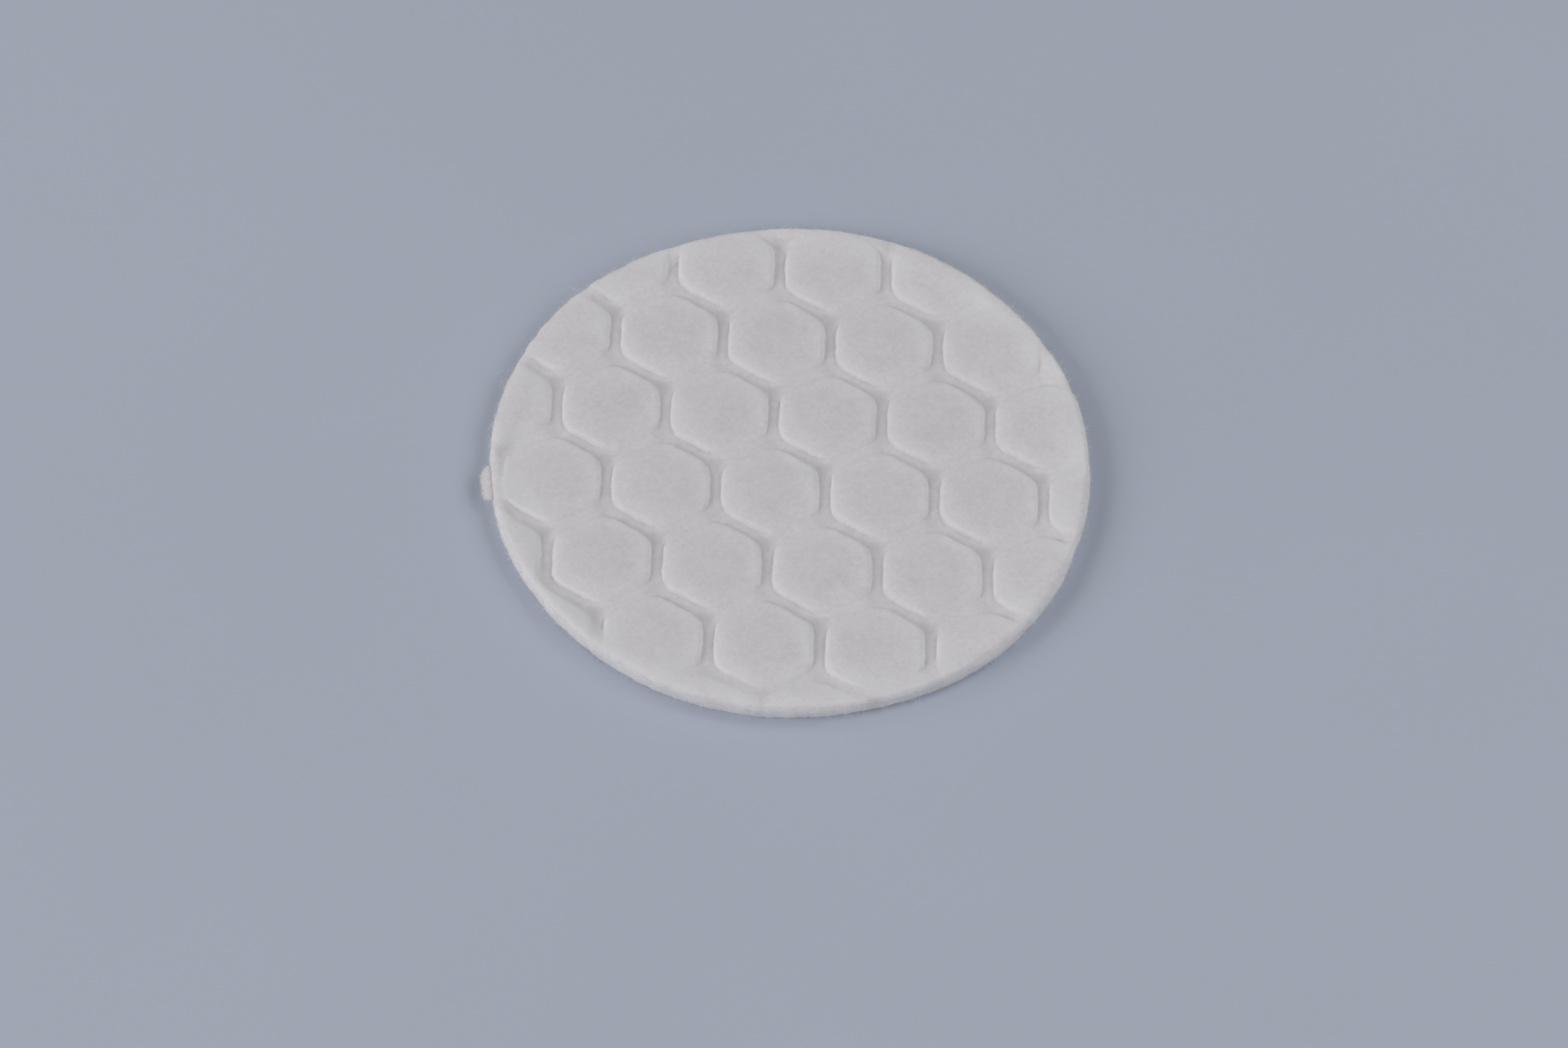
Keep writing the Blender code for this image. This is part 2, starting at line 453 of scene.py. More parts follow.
def drawn_to_walls(form, x, y):
    """The lattice drawn together at the grooves' walls. Inside each cell the hexagonal distance from
    the middle goes through the inverse of a running sum that grows fastest at the wall."""
    across, away = cell_place(form, x, y)
    border = form.pitch / 2
    from_middle = border - from_border(form, across, away, SHARP_CORNERS)
    steps = np.linspace(0, border, 400)
    past = border - steps - form.groove_width / 2
    crowding = 1 + WALL_CROWDING * np.exp(-((past - CROWDED_AT) / CROWDED_BAND) ** 2)
    running = np.concatenate([[0], np.cumsum((crowding[1:] + crowding[:-1]) / 2)])
    drawn = np.interp(from_middle / border * running[-1], running, steps)
    grow = np.where(from_middle < border, drawn / np.maximum(from_middle, 1e-9), 1.0) - 1.0
    c, s = math.cos(form.turn), math.sin(form.turn)
    return x + grow * (across * c - away * s), y + grow * (across * s + away * c)


def ring_place(form, x, y):
    """The ring and the angle of a place on the flat of a face."""
    flat_radius = form.radius - form.rim_round
    return np.hypot(x, y) / flat_radius * (form.rings - RIM_RINGS), np.arctan2(y, x)


def face_points(form, side, ring, angle, swelling=None):
    """Points of one face, from rings that need not be whole. The flat rings run out to where the rim
    starts to round, and the others down a quarter of a squared ellipse to the middle height. With a
    swelling, its moves are added, and the rim gets the fleece's fine layers and its curl."""
    flat_rings = form.rings - RIM_RINGS
    out = np.minimum(ring / flat_rings, 1.0)
    dip = np.clip((ring - flat_rings) / RIM_RINGS, 0.0, 1.0) * np.pi / 2
    out_of_round = outline(form, angle) - form.radius
    flat = out * (form.radius - form.rim_round) + out_of_round * out ** OUTLINE_POWER
    x, y = flat * np.cos(angle), flat * np.sin(angle)
    if swelling is not None:
        drawn_x, drawn_y = drawn_to_walls(form, x, y)
        free = 1 - smooth_step(*CROWDING_FADE, out)
        x, y = x + (drawn_x - x) * free, y + (drawn_y - y) * free
    beyond = form.rim_round * np.sin(dip)
    x, y = x + beyond * np.cos(angle), y + beyond * np.sin(angle)
    upper, lower, past = relief(form, x, y)
    half = (upper - lower) / 2 * np.cos(dip) ** RIM_SQUARENESS
    points = np.stack([x, y, (upper + lower) / 2 + SIDE_SIGN[side] * half], -1)
    if swelling is not None:
        on_flat, _ = ring_place(form, x, y)
        where = np.where(dip > 0, ring, np.minimum(on_flat, flat_rings))
        points += read_lattice(swelling[side], SWELL_RINGS, where * SWELL_RINGS / form.rings, angle)
        points[..., 2] = soft_floor(points[..., 2], TABLE_SOFTNESS)
        round_it = angle * form.radius / LAYER_STRETCH
        layers = waves(round_it, points[..., 2], seed=41, longest=0.9 * MM, shortest=0.22 * MM, count=50)
        points[..., 0] += LAYER_HEIGHT * layers * np.sin(dip) * np.cos(angle)
        points[..., 1] += LAYER_HEIGHT * layers * np.sin(dip) * np.sin(angle)
        points[..., 2] += curl(form, x, y)
    return points, past


def pad_skin(form, rings, swelling=None):
    """Both faces on one lattice, joined along the last ring: the points, the triangles, how far past
    the foot of a wall each point is, and the number that each point of the lower face has."""
    ring, angle, triangles = disc_lattice(rings)
    fine_ring = ring * form.rings / rings
    upper, past = face_points(form, UPPER, fine_ring, angle, swelling)
    lower, _ = face_points(form, LOWER, fine_ring, angle, swelling)
    free = ring < rings
    beneath = np.arange(len(ring)) + len(ring) * free
    points = np.concatenate([upper, lower[free]])
    faces = np.concatenate([triangles, beneath[triangles[:, ::-1]]])
    return points, faces, np.concatenate([past, past[free]]), beneath


# Swelling.

SWELL_RINGS = 63
SWELL_SCALE = 25.0
SWELL_FRAMES = 20
SWELL_PRESSURE = 5.5
SWELL_MASS = 0.02
# The pressed points are those less than this far past the foot of a wall.
HELD_REACH = 0.35 * MM
# The cap on a point's move, in lofts.
SWELL_CAP = 1.25
# The swellings worked out so far, by the form's sizes.
found_swellings = {}


def inflated(points, faces, held):
    """The points after the cloth solver has blown the closed skin up a little while the pressed
    points are held. The solver suits things about a metre across, so the skin is scaled up for it."""
    scene = bpy.context.scene
    skin = mesh_piece("swelling_skin", points * SWELL_SCALE, faces)
    group = skin.vertex_groups.new(name="held")
    group.add(np.flatnonzero(held).tolist(), 1.0, "REPLACE")
    cloth = skin.modifiers.new("swelling", "CLOTH")
    cloth.settings.vertex_group_mass = group.name
    cloth.settings.mass = SWELL_MASS
    cloth.settings.use_pressure = True
    cloth.settings.uniform_pressure_force = SWELL_PRESSURE
    cloth.settings.effector_weights.gravity = 0.0
    cloth.collision_settings.use_collision = False
    cloth.point_cache.frame_start = 1
    cloth.point_cache.frame_end = SWELL_FRAMES
    for at in range(1, SWELL_FRAMES + 1):
        scene.frame_set(at)
    solved = skin.evaluated_get(bpy.context.evaluated_depsgraph_get()).data
    moved = np.empty(len(points) * 3, dtype=np.float32)
    solved.vertices.foreach_get("co", moved)
    bpy.data.meshes.remove(skin.data)
    scene.frame_set(1)
    return moved.reshape(-1, 3).astype(float) / SWELL_SCALE


def averaged(values, triangles, rounds):
    """The values, evened out over the triangles: each round takes every point half way to the mean
    of its neighbours."""
    start = triangles.ravel()
    end = np.roll(triangles, -1, axis=1).ravel()
    start, end = np.concatenate([start, end]), np.concatenate([end, start])
    count = np.bincount(start, minlength=len(values))[:, None]
    for _ in range(rounds):
        total = [np.bincount(start, values[end, axis], len(values)) for axis in range(values.shape[1])]
        values = (values + np.stack(total, 1) / count) / 2
    return values


def swelling_of(form):
    """How far the fleece swells, for each point of a coarse lattice on the upper and the lower face.
    No point moves further than the cap: a move m becomes m over the root of 1 + (m / cap)^2."""
    key = tuple(getattr(form, name) for name in form.__annotations__)
    if key in found_swellings:
        return found_swellings[key]
    points, faces, past, beneath = pad_skin(form, SWELL_RINGS)
    count = len(beneath)
    moves = inflated(points, faces, past < HELD_REACH) - points
    cap = SWELL_CAP * form.loft
    far = np.linalg.norm(moves, axis=1, keepdims=True)
    moves = averaged(moves / np.sqrt(1 + (far / cap) ** 2), faces, rounds=2)
    found = [moves[:count], moves[beneath]]
    found_swellings[key] = found
    return found


# Fibres.

FIBRE_SIDES = 3
# The short fibres of the nap, the lint and the tuft have this share of the wisps' thickness.
FINE = 0.75
# How far the direction of a fibre droops from its root to its tip.
DROOP = 0.25
# How deep inside the rim the fibres start.
NAP_ROOT = 0.05 * MM
WISP_ROOT = 0.06 * MM
NAP_SHORTEST = 0.08 * MM
NAP_SPREAD = 0.13 * MM
# How clear of the rim the lint starts and stays, and how high it may arch and how deep its ends sink.
LINT_START_MARGIN = 1.2 * MM
LINT_MARGIN = 0.8 * MM
LINT_ARCH = 0.016 * MM
LINT_SINK = 0.010 * MM


def fibre_tubes(paths, thickness, taper):
    """A three-sided tube along each path. Its section is spanned by the cross of the path's direction
    with a vector of the fibre's own, and by the cross of those two."""
    count, stops, _ = paths.shape
    along = unit(np.gradient(paths, axis=1))
    guide = unit(np.cross(paths[:, -1] - paths[:, 0], [0.31, 0.17, 0.93]))
    sideways = unit(np.cross(along, guide[:, None, :] + np.array([0.05, 0.11, 0.07])))
    upwards = np.cross(along, sideways)
    turn = (np.arange(FIBRE_SIDES) * 2 * np.pi / FIBRE_SIDES)[None, None, :, None]
    radius = thickness / 2 * (1 - taper * np.linspace(0, 1, stops))[None, :, None, None]
    ring = sideways[:, :, None] * np.cos(turn) + upwards[:, :, None] * np.sin(turn)
    points = (paths[:, :, None] + ring * radius).reshape(-1, 3)
    first = np.arange(count)[:, None, None] * stops * FIBRE_SIDES
    stop = np.arange(stops - 1)[None, :, None] * FIBRE_SIDES
    corner = np.arange(FIBRE_SIDES)[None, None, :]
    a = first + stop + corner
    b = first + stop + (corner + 1) % FIBRE_SIDES
    walls = np.stack([a, b, b + FIBRE_SIDES, a, b + FIBRE_SIDES, a + FIBRE_SIDES], -1).reshape(-1, 3)
    root = first[:, 0] + np.array([[0, 2, 1]])
    tip = first[:, 0] + (stops - 1) * FIBRE_SIDES + np.array([[0, 1, 2]])
    return points, np.concatenate([walls, root, tip])


def curly_paths(rng, roots, aims, lengths, curls, stops):
    """A curly path from each root. Its direction is the aim, swung round by a slow sine and a faster
    cosine with phases of their own and drooping on its way, and its points are the running sum."""
    count = len(roots)
    t = np.linspace(0, 1, stops)[None, :, None]
    swing, sway = rng.normal(size=(2, count, 1, 3))
    turns = rng.uniform(2.0, 6.5, (count, 1, 1))
    phase = rng.uniform(0, 2 * np.pi, (count, 1, 1))
    winding = swing * np.sin(turns * t + phase) + sway * np.cos(1.3 * turns * t + phase)
    direction = aims[:, None, :] + curls[:, None, None] * winding
    direction[:, :, 2] -= DROOP * t[:, :, 0]
    steps = unit(direction) * (lengths / (stops - 1))[:, None, None]
    steps[:, 0] = 0
    return roots[:, None, :] + np.cumsum(steps, axis=1)


def above_table(paths, thickness):
    """The paths, with whatever would dip into the table lifted back onto it."""
    paths[..., 2] = np.maximum(paths[..., 2], thickness * 0.6)
    return paths


def rim_roots(form, angle, height):
    """Points on the cut rim and the directions straight out of it. The height runs from -1 at the
    lower face through 0 in the middle to 1 at the upper face."""
    dip = np.arccos(np.clip(np.abs(height), 0, 1) ** (1 / RIM_SQUARENESS))
    ring = form.rings - RIM_RINGS + RIM_RINGS * dip / (np.pi / 2)
    swelling = swelling_of(form)
    above, _ = face_points(form, UPPER, ring, angle, swelling)
    below, _ = face_points(form, LOWER, ring, angle, swelling)
    roots = np.where(height[:, None] > 0, above, below)
    slant = np.sign(height) * np.abs(height) ** 1.5 * 0.9
    return roots, unit(np.stack([np.cos(angle), np.sin(angle), slant], 1))


def aimed(rng, out, angle, spread, along_rim):
    """Directions about the outward ones, spread at random and laid over along the rim."""
    tangent = np.stack([-np.sin(angle), np.cos(angle), np.zeros_like(angle)], 1)
    lean = rng.normal(size=(len(angle), 1)) * along_rim
    return unit(out + tangent * lean + rng.normal(size=out.shape) * spread)


def nap_paths(form, fibres):
    """Short fibres all round the cut rim. Their lengths follow a gamma draw, so a few are long."""
    rng = np.random.default_rng(fibres.seed)
    angle = rng.uniform(0, 2 * np.pi, fibres.nap_count)
    roots, out = rim_roots(form, angle, rng.uniform(-0.75, 0.95, fibres.nap_count))
    lengths = NAP_SHORTEST + NAP_SPREAD * rng.gamma(1.6, 1.0, fibres.nap_count)
    aims = aimed(rng, out, angle, spread=0.45, along_rim=0.9)
    curls = np.full(fibres.nap_count, 0.55)
    paths = curly_paths(rng, roots - out * NAP_ROOT, aims, lengths, curls, stops=3)
    return above_table(paths, fibres.thickness)


# Where the die has dragged the fleece most: bearings in degrees, and how long a long fibre is there.
WISP_CLUSTERS = (
    (136, 2.4 * MM), (140, 1.8 * MM), (164, 2.8 * MM), (95, 0.9 * MM), (48, 1.0 * MM),
    (44, 1.1 * MM), (39, 1.3 * MM), (27, 1.2 * MM), (21, 1.4 * MM), (14, 0.9 * MM),
    (10, 0.9 * MM), (177, 0.8 * MM), (250, 1.3 * MM), (300, 1.2 * MM), (332, 1.0 * MM),
)
# How far a cluster's fibres spread about its bearing, in degrees.
CLUSTER_SPREAD = 1.5
# How long a long fibre is between the clusters, and how many clusters' worth of fibres stand there.
LOOSE_WISP = 1.0 * MM
LOOSE_SHARES = 14


def wisp_paths(form, fibres):
    """Longer curly fibres, in clusters on the rim and loosely between them."""
    rng = np.random.default_rng(fibres.seed + 1)
    count = fibres.wisp_count
    bearings, longest = np.array(WISP_CLUSTERS).T
    cluster = rng.integers(0, len(bearings) + LOOSE_SHARES, count)
    loose = cluster >= len(bearings)
    cluster = np.minimum(cluster, len(bearings) - 1)
    clustered = np.radians(bearings[cluster] + rng.normal(size=count) * CLUSTER_SPREAD)
    angle = np.where(loose, rng.uniform(0, 2 * np.pi, count), clustered)
    lengths = np.where(loose, LOOSE_WISP, longest[cluster]) * rng.uniform(0.35, 1.15, count) ** 1.6
    roots, out = rim_roots(form, angle, rng.uniform(-0.5, 0.9, count))
    aims = aimed(rng, out, angle, spread=0.35, along_rim=0.7)
    curls = rng.uniform(0.5, 1.5, count)
    paths = curly_paths(rng, roots - out * WISP_ROOT, aims, lengths, curls, stops=12)
    return above_table(paths, fibres.thickness)


def lint_paths(form, fibres, side):
    """Fibres that lie on a face: a path whose heading swings slowly, carried on the relief, a hair
    proud of it in the middle and just under it at both ends."""
    rng = np.random.default_rng(fibres.seed + 2 + side)
    count, stops = fibres.lint_count, 8
    radius = (form.radius - LINT_START_MARGIN) * np.sqrt(rng.random(count))
    place = rng.uniform(0, 2 * np.pi, count)
    step = (rng.uniform(0.5, 2.4, count) * MM / (stops - 1))[:, None]
    t = np.linspace(0, 1, stops)[None, :]
    bend = rng.normal(size=(count, 1)) * 1.1
    heading = rng.uniform(0, 2 * np.pi, (count, 1)) + bend * np.sin(3 * t + rng.uniform(0, 6, (count, 1)))
    x = (radius * np.cos(place))[:, None] + np.cumsum(np.cos(heading) * step, axis=1)
    y = (radius * np.sin(place))[:, None] + np.cumsum(np.sin(heading) * step, axis=1)
    inwards = np.minimum(1, (form.radius - LINT_MARGIN) / np.hypot(x, y))
    face = on_face(form, side, x * inwards, y * inwards)
    proud = rng.uniform(0.0, LINT_ARCH, (count, 1)) * np.sin(np.pi * t) ** 0.7 - LINT_SINK
    face[..., 2] += SIDE_SIGN[side] * proud
    return above_table(face, fibres.thickness)


def on_face(form, side, x, y):
    """Points of the swollen face over or under places on the flat of it."""
    ring, angle = ring_place(form, x, y)
    upper, lower, _ = relief(form, x, y)
    moves = read_lattice(swelling_of(form)[side], SWELL_RINGS, ring * SWELL_RINGS / form.rings, angle)
    height = (upper, lower)[side] + moves[..., 2]
    return np.stack([x, y, soft_floor(height, TABLE_SOFTNESS) + curl(form, x, y)], -1)


# The torn tuft.

TUFT_STOPS = 72
TUFT_FACETS = 28
TUFT_HEIGHT = 1.25 * MM
TUFT_WAVE = 0.06 * MM
# In reaches: how far outside the rim its middle line runs, its half width at its far end, and how
# much that grows.
TUFT_OFFSET = 0.12
TUFT_NARROW = 0.46
TUFT_WIDENING = 0.42
# Between which shares of its length it widens.
WIDENS_BETWEEN = (0.06, 0.30)
# How strongly its width wavers at its outer edge and its thickness all over, and how much thinner it
# is at its outer edge.
TORN = 0.12
LUMPY = 0.06
THINNER = 0.45


def tuft_centre(form, tuft, s):
    """Middle line of the tuft, from its far end at 0 to its near end at 1: angle, radius, half width
    and height. Its inner half is still rooted in the rim, and it is narrower at its far end."""
    angle = tuft.bearing + (s - 0.5) * tuft.span / form.radius
    half_width = tuft.reach * (TUFT_NARROW + TUFT_WIDENING * smooth_step(*WIDENS_BETWEEN, s))
    radius = outline(form, angle) + tuft.reach * TUFT_OFFSET
    return angle, radius, half_width, TUFT_HEIGHT + TUFT_WAVE * np.sin(4 * s)


def tuft_closing(s):
    """The tuft's share of its full section: 1 in the middle, and closing to 0 at both ends by the root
    of 1 less the tenth power of how far out towards an end it is."""
    return np.sqrt(1 - (2 * s - 1) ** 10)


def tuft_skin(form, tuft):
    """A closed flat loaf along the rim: its section is an ellipse that thins outwards and closes at
    both ends. The outer edge is torn, so its width and thickness waver."""
    s = np.linspace(0, 1, TUFT_STOPS)[1:-1, None]
    around = (np.arange(TUFT_FACETS) * 2 * np.pi / TUFT_FACETS)[None, :]
    angle, radius, half_width, height = tuft_centre(form, tuft, s)
    closing = tuft_closing(s)
    outer = (1 + np.cos(around)) / 2
    along = s * tuft.span
    tears = waves(along, around * 0.1 * MM, seed=61, longest=1.0 * MM, shortest=0.12 * MM, count=60)
    lumps = waves(along, around * 0.6 * MM, seed=62, longest=1.2 * MM, shortest=0.25 * MM, count=40)
    torn = 1 + TORN * outer * tears
    lumpy = 1 + LUMPY * lumps
    r = radius + half_width * np.cos(around) * torn * closing
    z = height + tuft.thickness / 2 * closing * (1 - THINNER * outer) * np.sin(around) * lumpy
    grid = np.stack([r * np.cos(angle), r * np.sin(angle), z], -1)
    return closed_loaf(grid)


def closed_loaf(grid):
    """A grid of rings closed round and over both ends, each by a fan to the middle of its last ring."""
    stops, facets, _ = grid.shape
    index = np.arange(stops * facets).reshape(stops, facets)
    beside = np.roll(index, -1, axis=1)
    a, b, c, d = index[:-1], beside[:-1], beside[1:], index[1:]
    walls = np.concatenate([np.stack([a, b, c], -1).reshape(-1, 3), np.stack([a, c, d], -1).reshape(-1, 3)])
    start, end = np.full(facets, stops * facets), np.full(facets, stops * facets + 1)
    start_fan = np.stack([start, beside[0], index[0]], -1)
    end_fan = np.stack([end, index[-1], beside[-1]], -1)
    middles = grid[[0, -1]].mean(axis=1)
    return np.concatenate([grid.reshape(-1, 3), middles]), np.concatenate([walls, start_fan, end_fan])


def tuft_paths(form, tuft, fibres):
    """Short fibres that stand out of the torn edge and, more of them, out of both ends."""
    rng = np.random.default_rng(fibres.seed + 7)
    count = fibres.tuft_fibre_count
    s = np.clip(rng.beta(0.7, 0.7, count), 0.03, 0.97)
    angle, radius, half_width, height = tuft_centre(form, tuft, s)
    closing = tuft_closing(s)
    reach = radius + half_width * closing * (1.02 - 0.8 * rng.random(count) ** 3)
    lift = height + tuft.thickness * 0.22 * rng.uniform(-1, 1, count) * closing
    roots = np.stack([reach * np.cos(angle), reach * np.sin(angle), lift], 1)
    tangent = np.stack([-np.sin(angle), np.cos(angle), np.zeros(count)], 1)
    outward = np.stack([np.cos(angle), np.sin(angle), np.full(count, 0.1)], 1)
    end_lean = np.sign(s - 0.5)[:, None] * smooth_step(0.3, 0.5, np.abs(s - 0.5))[:, None]
    aims = unit(outward + 1.6 * tangent * end_lean + rng.normal(size=(count, 3)) * 0.4)
    lengths = rng.uniform(0.06, 0.22, count) * MM * rng.choice([1.0, 2.0], count, p=[0.85, 0.15])
    paths = curly_paths(rng, roots, aims, lengths, np.full(count, 0.6), stops=5)
    return above_table(paths, fibres.thickness)


# Meshes and pieces.

def mesh_piece(name, points, faces, material=None):
    """A smooth mesh object made from whole arrays, with its place in its mesh."""
    mesh = bpy.data.meshes.new(name)
    mesh.vertices.add(len(points))
    mesh.vertices.foreach_set("co", points.astype(np.float32).ravel())
    mesh.loops.add(faces.size)
    mesh.loops.foreach_set("vertex_index", faces.astype(np.int32).ravel())
    mesh.polygons.add(len(faces))
    mesh.polygons.foreach_set("loop_start", np.arange(0, faces.size, faces.shape[1], dtype=np.int32))
    mesh.update(calc_edges=True)
    mesh.shade_smooth()
    if material:
        mesh.materials.append(material)
    piece = bpy.data.objects.new(name, mesh)
    bpy.context.scene.collection.objects.link(piece)
    return piece


def cotton_piece(name, points, faces, material):
    """A piece of the pad: it rides on the pad's body and takes the material that it is given."""
    piece = mesh_piece(name, points, faces, material)
    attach(piece, CAD_BODY)
    return piece


def fibre_piece(name, paths, thickness, taper, material):
    """A piece made of one tube along each path."""
    return cotton_piece(name, *fibre_tubes(paths, thickness, taper), material)


# Between which distances from a wall the fleece turns from whiter to plain, how far the painted shade
# at the wall's foot reaches, and between which distances from the rim the painted light fades out: the
# fleece is painted whiter there for the light that it lets through, and turns plain further in.
SHOULDER_REACH = (0.10 * MM, 2.60 * MM)
PAINTED_SHADE_REACH = 0.13 * MM
RIM_LIGHT_REACH = (1.0 * MM, 7.0 * MM)
# How much of the whiter tone and how much of the painted shade is gone where the press bites least.
SHOULDER_LOSS = 0.5
PAINTED_SHADE_LOSS = 0.9
# A place where three grooves meet begins between these distances from a cell's middle, in pitches.
MEETING_REACH = (0.50, 0.56)
# How much more painted shade there is there as a rule, and how much more or less than that there is by
# turns.
MEETING_SHADE = 0.7
MEETING_SHADE_CHANGE = 0.5


def shoulder_tone_and_painted_shade(form, x, y, past):
    """How much whiter the fleece is beside a wall, and the painted shade at the foot of a wall and on the
    floor by it. Both are less on the sides where the press bites least. The painted shade is more where
    three grooves meet, above all where one of them runs on to the front."""
    soft = soft_side(form, x, y)
    shoulder = (1 - smooth_step(*SHOULDER_REACH, past)) * (1 - SHOULDER_LOSS * soft)
    across, away = cell_place(form, x, y)
    # Painted shadow, more where three grooves meet.
    meeting_shade = smooth_step(*MEETING_REACH, np.hypot(across, away) / form.pitch)
    meeting_shade *= MEETING_SHADE + MEETING_SHADE_CHANGE * np.sin(3 * np.arctan2(away, across))
    # Painted shade at the foot of each wall and on the floor by it.
    hollow = np.exp(-past / PAINTED_SHADE_REACH) * (1 - PAINTED_SHADE_LOSS * soft + meeting_shade)
    return shoulder, hollow


def add_attribute(piece, name, values):
    """A number at each point of a piece, for its material."""
    attribute = piece.data.attributes.new(name, "FLOAT", "POINT")
    attribute.data.foreach_set("value", values.astype(np.float32))


# Materials.

class Shade:
    """One output socket. Arithmetic on it adds Math nodes, and node() adds a node of any other kind."""

    def __init__(self, tree, socket=None):
        self.tree = tree
        self.socket = socket

    def node(self, kind, settings=None, inputs=None, output=0):
        """Adds a node: its settings first, then the value or the link of each input that is given."""
        made = self.tree.nodes.new(kind)
        for name, value in (settings or {}).items():
            setattr(made, name, value)
        for key, value in (inputs or {}).items():
            if isinstance(value, Shade):
                self.tree.links.new(value.socket, made.inputs[key])
            else:
                made.inputs[key].default_value = value
        return Shade(self.tree, made.outputs[output])

    def math(self, operation, *values):
        return self.node("ShaderNodeMath", {"operation": operation}, dict(enumerate(values)))

    def __add__(self, other):
        return self.math("ADD", self, other)

    def __mul__(self, other):
        return self.math("MULTIPLY", self, other)

    def __sub__(self, other):
        return self.math("SUBTRACT", self, other)

    def __rsub__(self, other):
        return self.math("SUBTRACT", other, self)

    __radd__ = __add__
    __rmul__ = __mul__

    def feeds(self, node, name):
        """Links this socket to an input of a node."""
        self.tree.links.new(self.socket, node.inputs[name])


def new_material(name, constants):
    """A new material with constants set on its shader's own sockets: the material, the shader, and a
    Shade to build its nodes with."""
    material = bpy.data.materials.new(name)
    material.use_nodes = True
    shader = material.node_tree.nodes["Principled BSDF"]
    for socket, value in constants.items():
        shader.inputs[socket].default_value = value
    return material, shader, Shade(material.node_tree)


def noise(shade, where, scale, detail=2.0, roughness=0.5, distortion=0.0):
    """A noise of about 0 to 1, whose scale is in features a metre."""
    inputs = {
        "Vector": where, "Scale": scale, "Detail": detail, "Roughness": roughness, "Distortion": distortion
    }
    return shade.node("ShaderNodeTexNoise", None, inputs)


def streaks(shade, where, degrees, stretch, scale):
    """A noise drawn out along one heading, so that it reads as fibres that lie that way."""
    turned = {"Vector": where, "Rotation": (0, 0, math.radians(degrees)), "Scale": (stretch, 1, 1)}
    place = shade.node("ShaderNodeMapping", {"vector_type": "TEXTURE"}, turned)
    return noise(shade, place, scale, 2.0, 0.65, 0.6)


# A Mix node's sockets for colours, by number, because those for other kinds share their names.
MIX_FACTOR, MIX_FIRST, MIX_SECOND, MIX_RESULT = 0, 6, 7, 2


def mixed(shade, factor, first, second):
    """A colour between two others."""
    inputs = {MIX_FACTOR: factor, MIX_FIRST: (*first, 1.0), MIX_SECOND: (*second, 1.0)}
    return shade.node("ShaderNodeMix", {"data_type": "RGBA"}, inputs, MIX_RESULT)


# The headings of the felt's fibres in degrees, and how many of them, of the finer grains between them,
# of the flecks and of the clouds there are in a metre.
FIBRE_HEADINGS = (11, 68, 127)
FIBRE_SCALE = 5200.0
FELT_SCALE = 7000.0
FLECK_SCALE = 2000.0
CLOUD_SCALE = 330.0
# How strongly the clouds, the flecks and the felt mottle the tone, and the means of their noises.
CLOUD_MOTTLE, CLOUD_MEAN = 0.60, 0.5
FLECK_MOTTLE, FLECK_MEAN = 0.80, 0.5
FELT_MOTTLE, FELT_MEAN = 0.70, 1.05
# How far each thing draws the fleece's tone from the grey end, 0, to the pale end, 1: the plain tone,
# the whiter tone beside the walls, the painted light near the rim and the painted shade at the walls' feet.
PLAIN_TONE = 0.41
SHOULDER_TONE = 0.42
RIM_LIGHT_TONE = 0.24
PAINTED_SHADE_TONE = 0.42


def fleece_material(finish):
    """Bleached fleece: cloudy in tone, whiter beside the walls, with painted light near the rim and
    painted shade at the feet of the walls, and with a felt of fine fibres that lie in three headings."""
    constants = {
        "Metallic": 0.0, "Sheen Weight": 0.10, "Sheen Roughness": 0.6, "Specular IOR Level": 0.25,
        "Subsurface Weight": 0.75, "Subsurface Scale": 0.50 * MM, "Subsurface Radius": (1.0, 0.95, 0.95),
    }
    material, shader, shade = new_material("bleached_fleece", constants)
    where = shade.node("ShaderNodeTexCoord", output="Object")
    shoulder = shade.node("ShaderNodeAttribute", {"attribute_name": "shoulder"}, output="Fac")
    # Painted shade at the feet of the walls, then painted light near the rim.
    hollow = shade.node("ShaderNodeAttribute", {"attribute_name": "hollow"}, output="Fac")
    near_rim = shade.node("ShaderNodeAttribute", {"attribute_name": "near_rim"}, output="Fac")
    clouds = noise(shade, where, CLOUD_SCALE, 3.0, 0.6)
    flecks = noise(shade, where, FLECK_SCALE, 2.0, 0.65)
    felt = noise(shade, where, FELT_SCALE, 2.0, 0.6) * 0.6
    for heading in FIBRE_HEADINGS:
        felt = felt + streaks(shade, where, heading, 7.0, FIBRE_SCALE) * 0.5
    cloudy = (clouds - CLOUD_MEAN) * CLOUD_MOTTLE
    flecked = (flecks - FLECK_MEAN) * FLECK_MOTTLE
    mottled = cloudy + flecked + (felt - FELT_MEAN) * FELT_MOTTLE
    # How much paler the fleece is: whiter beside the walls and painted light near the rim, less the painted
    # shade at the feet of the walls.
    pressed = shoulder * SHOULDER_TONE + near_rim * RIM_LIGHT_TONE - hollow * PAINTED_SHADE_TONE
    tone = pressed + mottled + PLAIN_TONE
    tint = mixed(shade, tone, finish.grey_and_shaded_colour, finish.pale_and_lit_colour)
    tint.feeds(shader, "Base Color")
    (felt * 0.04 + (finish.roughness - 0.04)).feeds(shader, "Roughness")
    bump = shade.node("ShaderNodeBump", None, {"Height": felt, "Strength": 1.0, "Distance": finish.relief})
    bump.feeds(shader, "Normal")
    return material


